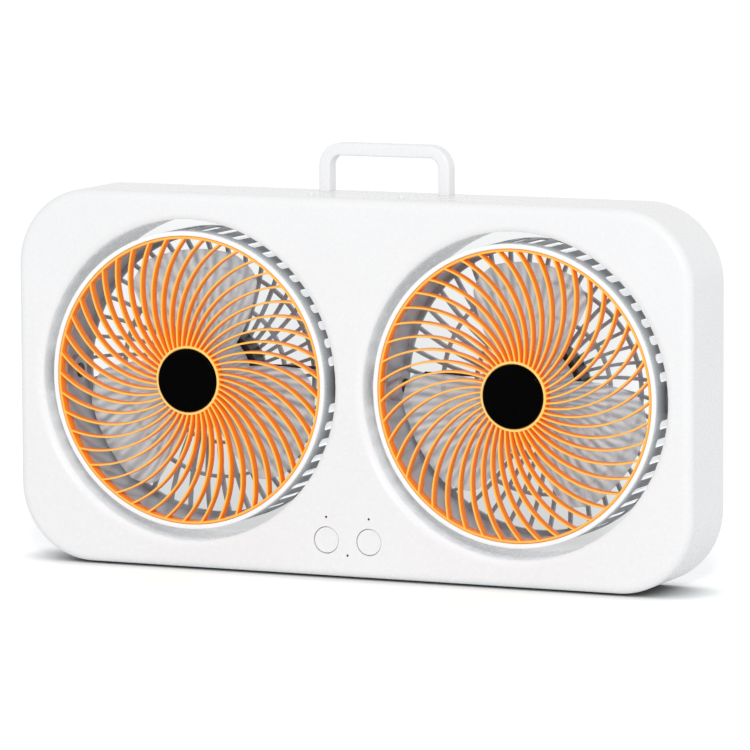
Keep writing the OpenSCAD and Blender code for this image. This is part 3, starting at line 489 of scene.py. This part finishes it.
# %% Camera
YAW, PITCH, ROLL = (math.radians(a) for a in (24.083, 6.879, -0.271))
TARGET = Vector((16.95, -25.0, 113.47)) * MM
DISTANCE = 3.35208
back = Vector((math.sin(YAW) * math.cos(PITCH), -math.cos(YAW) * math.cos(PITCH), math.sin(PITCH)))
right = Vector((math.cos(YAW), math.sin(YAW), 0))
up = back.cross(right)
right, up = (right * math.cos(ROLL) + up * math.sin(ROLL),
             up * math.cos(ROLL) - right * math.sin(ROLL))
only()
bpy.ops.object.camera_add(location=TARGET + back * DISTANCE)
camera = bpy.context.object
camera.rotation_euler = Matrix((right, up, back)).transposed().to_euler()
camera.data.sensor_width = 36
camera.data.lens = 296.07
camera.data.clip_end = 60
bpy.context.scene.camera = camera
print("camera at", [round(v, 3) for v in camera.location])

# %% [markdown]
# ## Light and background
# The photo is a product shot on white: soft light from all round and a little more from the front
# right, which draws a soft dark line where the case stands. The world gives the even light. For
# the camera, and for what glossy and clear surfaces show, it is pure white.

# %% World
WORLD_LEVEL = 0.755
scene = bpy.context.scene
scene.view_settings.view_transform = "Standard"
world = bpy.data.worlds.new("White studio")
scene.world = world
world.use_nodes = True
sky = world.node_tree
sky.nodes.clear()
rays = add(sky, "ShaderNodeLightPath").outputs
seen = add(sky, "ShaderNodeMath", {0: rays["Is Camera Ray"], 1: rays["Is Glossy Ray"]},
           operation="MAXIMUM")
seen = add(sky, "ShaderNodeMath", {0: seen.outputs[0], 1: rays["Is Transmission Ray"]},
           operation="MAXIMUM")
level = add(sky, "ShaderNodeMapRange", {
    "Value": seen.outputs[0], "To Min": WORLD_LEVEL, "To Max": 1.0})
paper = add(sky, "ShaderNodeBackground", {
    "Color": (1, 1, 1, 1), "Strength": level.outputs["Result"]})
add(sky, "ShaderNodeOutputWorld", {"Surface": paper.outputs["Background"]})
print("world light", WORLD_LEVEL, "and white for the camera")

# %% Key softbox
KEY_PLACE, KEY_AIM = Vector((2.1, -4.5, 2.4)), Vector((0, 0, 0.1))
only()
bpy.ops.object.light_add(type="AREA", location=KEY_PLACE)
key = bpy.context.object
key.name = "Key softbox"
key.data.size, key.data.energy = 0.6, 84
key.rotation_euler = (KEY_PLACE - KEY_AIM).to_track_quat("Z", "Y").to_euler()
print("key softbox", round((KEY_PLACE - KEY_AIM).length, 2), "m away,", key.data.energy, "W")

# %% [markdown]
# ## The floor
# The floor is a sweep of white paper. The openings show a light grey behind the fan, not white,
# because a painted shadow darkens the paper in a stretch that runs away from the camera behind the
# case and widens as the view does. It has soft edges and pales with the distance.

# %% Floor, with a painted shadow behind the fan
only()
bpy.ops.mesh.primitive_plane_add(size=40)
floor = bpy.context.object
floor.name = "Floor"
sheet, tree = blank("White paper sweep")
spot = add(tree, "ShaderNodeTexCoord").outputs["Object"]
along = add(tree, "ShaderNodeVectorMath", {
    0: spot, 1: (-math.sin(YAW), math.cos(YAW), 0)}, operation="DOT_PRODUCT").outputs["Value"]
across = add(tree, "ShaderNodeVectorMath", {
    0: spot, 1: (math.cos(YAW), math.sin(YAW), 0)}, operation="DOT_PRODUCT").outputs["Value"]
span = add(tree, "ShaderNodeMath", {0: along, 1: DISTANCE}, operation="ADD")
slope = add(tree, "ShaderNodeMath", {0: across, 1: span.outputs[0]}, operation="DIVIDE")
slope = add(tree, "ShaderNodeMath", {0: slope.outputs[0]}, operation="ABSOLUTE")
near = add(tree, "ShaderNodeMapRange", {
    "Value": along, "From Min": 0.03, "From Max": 0.12}, interpolation_type="SMOOTHSTEP")
far = add(tree, "ShaderNodeMapRange", {
    "Value": along, "From Min": 1.95, "From Max": 2.3,
    "To Min": 1.0, "To Max": 0.0}, interpolation_type="SMOOTHSTEP")
side = add(tree, "ShaderNodeMapRange", {
    "Value": slope.outputs[0], "From Min": 0.034, "From Max": 0.056,
    "To Min": 1.0, "To Max": 0.0}, interpolation_type="SMOOTHSTEP")
# The grey stretch is a painted shadow behind the case.
shade = add(tree, "ShaderNodeMath", {0: near.outputs[0], 1: far.outputs[0]}, operation="MULTIPLY")
shade = add(tree, "ShaderNodeMath", {0: shade.outputs[0], 1: side.outputs[0]},
            operation="MULTIPLY")
deep = add(tree, "ShaderNodeMapRange", {
    "Value": along, "From Min": 0.1, "From Max": 2.0, "To Min": 0.68, "To Max": 0.88})
painted_shadow = add(tree, "ShaderNodeMix", {"Factor": shade.outputs[0], "A": 1.0, "B": deep.outputs[0]})
print("floor", floor.dimensions[0], "m wide")

# %% [markdown]
# Close to the case the paper is darkened further, for the camera only, by how little of the sky it
# sees. That gives the thin dark line under the case. The rest of its white is part reflected, which
# keeps the shadow that the fan casts, and part its own light, which only the camera sees.

# %% Contact shade and the floor's own white
rays = add(tree, "ShaderNodeLightPath").outputs
open_sky = add(tree, "ShaderNodeAmbientOcclusion", {"Distance": 0.035}, samples=12)
contact = add(tree, "ShaderNodeMapRange", {
    "Value": open_sky.outputs["AO"], "From Min": 0.03, "From Max": 0.8,
    "To Min": 0.05, "To Max": 1.0})
contact = add(tree, "ShaderNodeMix", {
    "Factor": rays["Is Camera Ray"], "A": 1.0, "B": contact.outputs[0]})
grey = add(tree, "ShaderNodeMath", {0: painted_shadow.outputs[0], 1: contact.outputs[0]},
           operation="MULTIPLY")
paper = add(tree, "ShaderNodeVectorMath", {0: (0.95, 0.972, 0.98), "Scale": grey.outputs[0]},
            operation="SCALE")
matt = add(tree, "ShaderNodeBsdfDiffuse", {"Color": paper.outputs["Vector"]})
power = add(tree, "ShaderNodeMath", {0: grey.outputs[0], 1: 0.27}, operation="MULTIPLY")
glow = add(tree, "ShaderNodeEmission", {"Strength": power.outputs[0]})
none = add(tree, "ShaderNodeEmission", {"Strength": 0.0})
lift = add(tree, "ShaderNodeMixShader", {
    0: rays["Is Camera Ray"], 1: none.outputs[0], 2: glow.outputs[0]})
both = add(tree, "ShaderNodeAddShader", {0: matt.outputs[0], 1: lift.outputs[0]})
add(tree, "ShaderNodeOutputMaterial", {"Surface": both.outputs[0]})
floor.data.materials.append(sheet)
print("floor material", sheet.name)


# %% [markdown]
# ## Handing a piece over
# A finished piece sits at the origin with its place in its mesh. It gets its material and smooth
# shading with crisp edges, rides on a body, and takes the place of the CAD node that it refines.

# %% Finish a piece
def hand_over(piece, body, slot, material, *nodes, crease=35):
    """Gives a piece its material, shading, body and the CAD nodes it stands for; the slot is not
    used.
    """
    only(piece)
    bpy.ops.object.transform_apply(location=True, rotation=True, scale=True)
    piece.data.materials.clear()
    piece.data.materials.append(material)
    bpy.ops.object.shade_smooth_by_angle(angle=math.radians(crease))
    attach(piece, body)
    if nodes:
        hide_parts(*nodes)
    print(f"{piece.name}: {len(piece.data.polygons)} faces on {body}")


def on_both_heads(piece, part, slot, material, node, body="head", crease=35):
    """Moves a piece from the origin to the left head, and a mirror image to the right one."""
    piece.data.transform(Matrix.Translation(HEAD))
    piece.name = piece.data.name = f"left_{part}"
    twin = duplicate(piece, MIRROR, f"right_{part}")
    for side, made in (("left", piece), ("right", twin)):
        hand_over(made, f"{side}_{body}", slot, material, f"{side}_{node}", crease=crease)


# %% [markdown]
# ## Front grille
# The orange grille is one moulding: a rim, a ring round the hub with a floor behind the cap, and 45
# thin fins that leave the hub almost along its edge and curl outwards, each on the arc of a circle.
# One fin is a rounded rectangle swept along that arc with spin. It is then copied round the hub.

# %% Rim, hub ring and floor
FIN_COUNT, FIN_W, FIN_ROUND, FIN_SHORT = 45, 1.1, 0.42, 0.6
RIM_W, RIM_SINK = 1.6, 0.35
ARC_R, ARC_CENTRE, FIN_PHASE = 61.12, 60.32, -54.7
FIN_IN, FIN_OUT = 18.45, GRILLE_R - RIM_W / 2
HUB_IN, HUB_OUT = 17.7, 19.2
HUB_FLOOR = RIM_BACK - 1.2

rim = turned("rim", rounded([
    (GRILLE_R - RIM_W, RING_Y + RIM_SINK, 0.6), (GRILLE_R, RING_Y + RIM_SINK, 0.9),
    (GRILLE_R, RIM_BACK, 0.2), (GRILLE_R - RIM_W, RIM_BACK, 0.3)]))
hub_ring = turned("hub_ring", rounded([
    (HUB_IN, RING_Y, 0.45), (HUB_OUT, RING_Y, 0.55), (HUB_OUT, RIM_BACK, 0.2),
    (0, RIM_BACK, 0), (0, HUB_FLOOR, 0), (HUB_IN, HUB_FLOOR, 0.2)]), steps=120)
print("rim and hub ring:", len(rim.data.polygons), len(hub_ring.data.polygons), "faces")


# %% One fin, then all of them
def arc_angle(radius):
    """Angle round the arc's centre, in degrees, of its point this far from the hub's middle."""
    value = (radius**2 - ARC_CENTRE**2 - ARC_R**2) / (2 * ARC_CENTRE * ARC_R)
    return math.degrees(math.acos(value))


def about_y(degrees, x=0.0):
    """A turn about the Y axis through x; positive is anticlockwise seen from the front."""
    there = Matrix.Translation((x, 0, 0))
    return there @ Matrix.Rotation(-math.radians(degrees), 4, "Y") @ there.inverted()


def fin():
    """A fin at angle 0: a rounded section swept along the arc."""
    depth = RIM_BACK - RING_Y - FIN_SHORT
    only()
    bpy.ops.mesh.primitive_plane_add(size=1)
    piece = bpy.context.object
    edit(piece)
    bpy.ops.transform.resize(value=(FIN_W * MM, depth * MM, 1))
    bpy.ops.mesh.bevel(offset=FIN_ROUND * MM, segments=3, affect="VERTICES")
    bpy.ops.mesh.select_all(action="SELECT")
    middle = (RING_Y + RIM_BACK) / 2
    bpy.ops.transform.translate(value=((ARC_CENTRE + ARC_R) * MM, middle * MM, 0))
    start, sweep = arc_angle(FIN_OUT), arc_angle(FIN_IN) - arc_angle(FIN_OUT)
    bpy.ops.mesh.spin(steps=26, angle=math.radians(sweep), center=(ARC_CENTRE * MM, 0, 0),
                      axis=(0, 1, 0))
    clean(piece)
    piece.data.transform(about_y(start, ARC_CENTRE * MM))
    return piece


first = fin()
fins = [duplicate(first, about_y(FIN_PHASE + k * 360 / FIN_COUNT)) for k in range(FIN_COUNT)]
bpy.data.objects.remove(first)
grille = join("grille", [rim, hub_ring] + fins)
on_both_heads(grille, "swirl_grille", "orange_plastic", orange_abs, "front_grille")

# %% [markdown]
# ## Hub cap and bead
# The cap is glossy black with a small rounded edge, and is left bare. The bead round the grille is
# a pale ring with a round front, which hides the joint between grille and drum.

# %% Hub cap and bead
CAP_R, CAP_RISE, CAP_DOME = 17.4, 1.5, 0.15
cap = turned("cap", rounded([
    (0, RING_Y - CAP_RISE, 0), (CAP_R, RING_Y - CAP_RISE + CAP_DOME, 0.9),
    (CAP_R, HUB_FLOOR, 0.2), (0, HUB_FLOOR, 0)], 6), steps=120)
on_both_heads(cap, "hub_badge_blank", "cap_black", black_gloss, "hub_cap")

BEAD_IN = GRILLE_R + 0.1
bead = turned("bead", rounded([
    (BEAD_IN, RING_Y, 0.6), (DRUM_R, RING_Y, 0.7), (DRUM_R, TRIM_BACK, 0.15),
    (BEAD_IN, TRIM_BACK, 0.15)], 7))
on_both_heads(bead, "bead", "case_white", bead_abs, "trim_ring")

# %% [markdown]
# ## Fan
# Three broad blades of smoky see-through plastic on a cupped hub. A blade is a grid laid out round
# the hub: each row of points lies at one radius, spans its own angle and is tilted from front to
# back, with a slight hollow. Solidify gives it its 1.4 mm, and a bevel rounds the edge.

# %% One blade
low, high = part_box("left_impeller")
HUB_FRONT, HUB_BACK = low.y / MM, high.y / MM
HUB_R, HUB_WALL, TIP_R, BLADE_ROOT = 25.0, 1.6, 71.2, 24.0
BLADE_SPAN, BLADE_T, BLADE_PHASE, BLADE_SWEEP = 92.0, 1.4, 90.0, 4.0
BLADE_MID, BLADE_RISE, BLADE_HOLLOW = -6.4, 13.0, 2.2
TAPER, ROUND_FROM, ROUNDING = 0.31, 0.8, 0.6


def blade_width(u):
    """Share of the blade's full span at u, 0 at the hub and 1 at the tip."""
    past = max(0, (u - ROUND_FROM) / (1 - ROUND_FROM))
    return (1 - TAPER * u) * math.sqrt(1 - ROUNDING * past**2)


def blade():
    """A blade centred on angle 0, with its wall and rounded edges."""
    only()
    bpy.ops.mesh.primitive_grid_add(x_subdivisions=30, y_subdivisions=18, size=1)
    piece = bpy.context.object
    for vertex in piece.data.vertices:
        u, v = 1 - (0.5 - vertex.co.x) ** 1.5, vertex.co.y
        radius = BLADE_ROOT + u * (TIP_R - BLADE_ROOT)
        angle = math.radians(BLADE_SWEEP * u + BLADE_SPAN * blade_width(u) * v)
        rise = BLADE_RISE * (0.95 + 0.25 * u) * blade_width(u) * v
        depth = BLADE_MID - rise + BLADE_HOLLOW * (1 - 4 * v * v)
        vertex.co = Vector((radius * math.cos(angle), depth, radius * math.sin(angle))) * MM
    wall = piece.modifiers.new("wall", "SOLIDIFY")
    wall.thickness, wall.offset = BLADE_T * MM, 0
    edge = piece.modifiers.new("edge", "BEVEL")
    edge.width, edge.segments, edge.angle_limit = 0.5 * MM, 2, math.radians(60)
    only(piece)
    for modifier in [m.name for m in piece.modifiers]:
        bpy.ops.object.modifier_apply(modifier=modifier)
    return clean(piece)


first = blade()
blades = [duplicate(first, about_y(BLADE_PHASE + k * 120)) for k in range(3)]
bpy.data.objects.remove(first)
print("blades:", len(blades), "of", len(blades[0].data.polygons), "faces")

# %% The hub, a cup with a boss for the shaft
CUP_EDGE, CUP_MIDDLE = -10.5, -12
BOSS_R, BOSS_BACK, BORE_R, BORE_END = 4, -1.5, 1.52, -11.4
hub = turned("hub", rounded([
    (0, HUB_FRONT, 0), (HUB_R, HUB_FRONT + 0.6, 2.6), (HUB_R, HUB_BACK, 0.3),
    (HUB_R - HUB_WALL, HUB_BACK, 0.3), (HUB_R - HUB_WALL, CUP_EDGE, 1.5),
    (BOSS_R, CUP_MIDDLE, 0.5), (BOSS_R, BOSS_BACK, 0.3), (BORE_R, BOSS_BACK, 0),
    (BORE_R, BORE_END, 0), (0, BORE_END, 0)], 5), steps=120)
on_both_heads(join("fan", [hub] + blades), "fan", "smoke_plastic", smoke_as, "impeller",
              body="fan", crease=50)

# %% [markdown]
# ## Handle
# The handle is a bow of rounded bar that pulls up out of the top. Its section is a rectangle with
# rounded corners, extruded up one leg, spun round the corner, run across, and down again.

# %% Handle bow
low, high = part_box("handle")
NIB_H = 0.35
BAR_W, BAR_H, BAR_D, BAR_ROUND = 6.6, 7.0, (high.y - low.y) / MM, 1.1
BOW_R, FOOT_OUT, FOOT_H = 13.0, 1.0, 2
BOW_X, BOW_Y = (low.x + high.x) / 2 / MM, (low.y + high.y) / 2 / MM
LEG_X = (high.x - low.x) / 2 / MM - FOOT_OUT - BAR_W / 2
BOW_TOP, LEG_FOOT = high.z / MM - NIB_H, low.z / MM


def move(x, y, z):
    """Moves what is selected, in mm."""
    bpy.ops.transform.translate(value=(x * MM, y * MM, z * MM))


only()
bpy.ops.mesh.primitive_plane_add(size=1)
bow = bpy.context.object
edit(bow)
bpy.ops.transform.resize(value=(BAR_W * MM, BAR_D * MM, 1))
bpy.ops.mesh.bevel(offset=BAR_ROUND * MM, segments=4, affect="VERTICES")
bpy.ops.mesh.select_all(action="SELECT")
move(-LEG_X, BOW_Y, LEG_FOOT)
rise = BOW_TOP - BOW_R - LEG_FOOT
x, z = (-LEG_X - BAR_W / 2 + BOW_R) * MM, (BOW_TOP - BOW_R) * MM
bpy.ops.mesh.extrude_region_move(TRANSFORM_OT_translate={"value": (0, 0, rise * MM)})
bpy.ops.mesh.spin(steps=14, angle=math.pi / 2, center=(x, 0, z), axis=(0, -1, 0))
bpy.ops.mesh.extrude_region_move(TRANSFORM_OT_translate={"value": (-2 * x, 0, 0)})
bpy.ops.mesh.spin(steps=14, angle=math.pi / 2, center=(-x, 0, z), axis=(0, -1, 0))
bpy.ops.mesh.extrude_region_move(TRANSFORM_OT_translate={"value": (0, 0, -rise * MM)})
clean(bow)
print("bow, mm:", [round(v / MM, 1) for v in bow.dimensions])

# %% A deeper crossbar
# The underside of the crossbar lies a little lower than the legs' width would put it.
CORNER_CLEAR = 5
bpy.ops.object.mode_set(mode="EDIT")
bpy.ops.mesh.select_all(action="DESELECT")
bpy.ops.object.mode_set(mode="OBJECT")
for vertex in bow.data.vertices:
    under = vertex.co.z < (BOW_TOP - BAR_W / 2) * MM
    vertex.select = under and abs(vertex.co.x) < (LEG_X - BAR_W / 2 - CORNER_CLEAR) * MM
bpy.ops.object.mode_set(mode="EDIT")
move(0, 0, BAR_W - BAR_H)
only(bow)
print("crossbar", BAR_H, "mm deep, legs", BAR_W, "mm wide")

# %% Leg feet and the moulding nib
NIB_R, NIB_ROOT, NIB_X = 0.8, 0.8, 7
feet = []
for side in (-1, 1):
    only()
    bpy.ops.mesh.primitive_cube_add(
        size=1, location=(side * LEG_X * MM, BOW_Y * MM, (LEG_FOOT + FOOT_H / 2) * MM))
    foot = bpy.context.object
    foot.scale = ((BAR_W + 2 * FOOT_OUT) * MM, BAR_D * MM, FOOT_H * MM)
    bpy.ops.object.transform_apply(location=True, rotation=True, scale=True)
    edit(foot)
    bpy.ops.mesh.bevel(offset=0.3 * MM, segments=2)
    only(foot)
    feet.append(foot)
nib = turned("nib", rounded([
    (0, -NIB_ROOT, 0), (NIB_R, -NIB_ROOT, 0), (NIB_R - 0.05, NIB_H - 0.01, 0.33),
    (0, NIB_H, 0)], 4), 24, (0, 0, 1))
nib.data.transform(Matrix.Translation(Vector((NIB_X, BOW_Y, BOW_TOP)) * MM))
handle = join("carry_handle", [bow] + feet + [nib])
handle.data.transform(Matrix.Translation((BOW_X * MM, 0, 0)))
hand_over(handle, "handle", "case_white", white_abs, "handle", crease=40)

# %% [markdown]
# ## Buttons, studs and feet
# The buttons are plain round caps, flush with the face, with a fine gap round them and a slightly
# hollow front that a fingertip finds. Behind the face they carry a collar and a stem. The two studs
# on top are small round-headed rests. The feet are rubber discs with a rounded lower edge.

# %% Buttons
low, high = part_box("left_button")
BUTTON = Vector(((low.x + high.x) / 2, 0, (low.z + high.z) / 2))
FRONT, STEM_BACK = low.y / MM, high.y / MM
COLLAR_R = (high.x - low.x) / 2 / MM
BUTTON_R, STEM_R, DISH_R, DISH = COLLAR_R - 1.3, 2.2, 4.5, 0.35
COLLAR, COLLAR_BACK = FRONT + 2.4, FRONT + 3.4
button = turned("button", rounded([
    (0, FRONT + DISH, 0), (DISH_R, FRONT + DISH - 0.1, 1.0), (BUTTON_R, FRONT, 0.45),
    (BUTTON_R, COLLAR, 0.1), (COLLAR_R, COLLAR, 0.2), (COLLAR_R, COLLAR_BACK, 0.2),
    (STEM_R, COLLAR_BACK, 0.2), (STEM_R, STEM_BACK, 0.1), (0, STEM_BACK, 0)], 5), 96)
button.data.transform(Matrix.Translation(BUTTON))
twin = duplicate(button, MIRROR, "right_push_button")
button.name = "left_push_button"
hand_over(button, "left_button", "case_white", white_abs, "left_button")
hand_over(twin, "right_button", "case_white", white_abs, "right_button")

# %% Studs
low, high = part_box("top_studs")
STUD_R, STUD_H = (high.y - low.y) / 2 / MM, high.z / MM - CASE_TOP
PEG_R, PEG_L = 1.1, 2.2
stud = turned("stud", rounded([
    (0, -PEG_L, 0), (PEG_R, -PEG_L, 0.1), (PEG_R, 0, 0), (STUD_R, 0, 0),
    (STUD_R, STUD_H, 0.9), (0, STUD_H, 0)], 5), 32, (0, 0, 1))
seat = Vector((low.x + STUD_R * MM, (low.y + high.y) / 2, CASE_TOP * MM))
stud.data.transform(Matrix.Translation(seat))
pair = join("top_rests", [stud, duplicate(stud, MIRROR)])
hand_over(pair, "case", "case_white", white_abs, "top_studs")

# %% Feet
low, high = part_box("rubber_feet")
PAD_R, PAD_H = 6, 2
pad = turned("pad", rounded([(0, 0, 0), (PAD_R, 0, 0.7), (PAD_R, PAD_H, 0.2), (0, PAD_H, 0)], 4),
             64, (0, 0, 1))
pad.data.transform(Matrix.Translation((high.x - PAD_R * MM, high.y - PAD_R * MM, 0)))
behind = duplicate(pad, Matrix.Scale(-1, 4, (0, 1, 0)))
others = [duplicate(pad, MIRROR), duplicate(behind, MIRROR)]
hand_over(join("foot_pads", [pad, behind] + others), "case", "rubber", rubber, "rubber_feet")

# %% [markdown]
# ## The CAD nodes that stay
# The rest of the CAD is already the right shape, so it only gets its real finish.

# %% Finishes for the CAD nodes
FINISHES = {
    glowing_shell_abs: ["front_shell"],
    white_abs: ["rear_cover"],
    silver_paint: ["left_drum", "right_drum"],
    grey_satin: ["left_rear_guard", "right_rear_guard", "battery_tray"],
    black_satin: ["left_motor_cup", "right_motor_cup", "left_outer_axle", "left_inner_axle",
                  "right_outer_axle", "right_inner_axle", "left_plunger", "right_plunger"],
    zinc_steel: ["cover_screws", "tact_switches", "charge_socket", "board_screws", "tray_screws",
                 "left_motor", "right_motor", "left_motor_shaft", "right_motor_shaft",
                 "left_motor_screws", "right_motor_screws"],
    rubber: ["friction_washers"],
    lamp_lens: ["light_pipes"],
    board_green: ["switch_board", "charge_board"],
    pack_wrap: ["battery_pack"],
    red_pvc: ["battery_leads"],
    black_pvc: ["left_motor_lead", "right_motor_lead", "left_head_lead", "right_head_lead"],
}
for material, names in FINISHES.items():
    for name in names:
        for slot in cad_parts[name].material_slots:
            slot.material = material
    print(material.name, "on", len(names), "nodes")
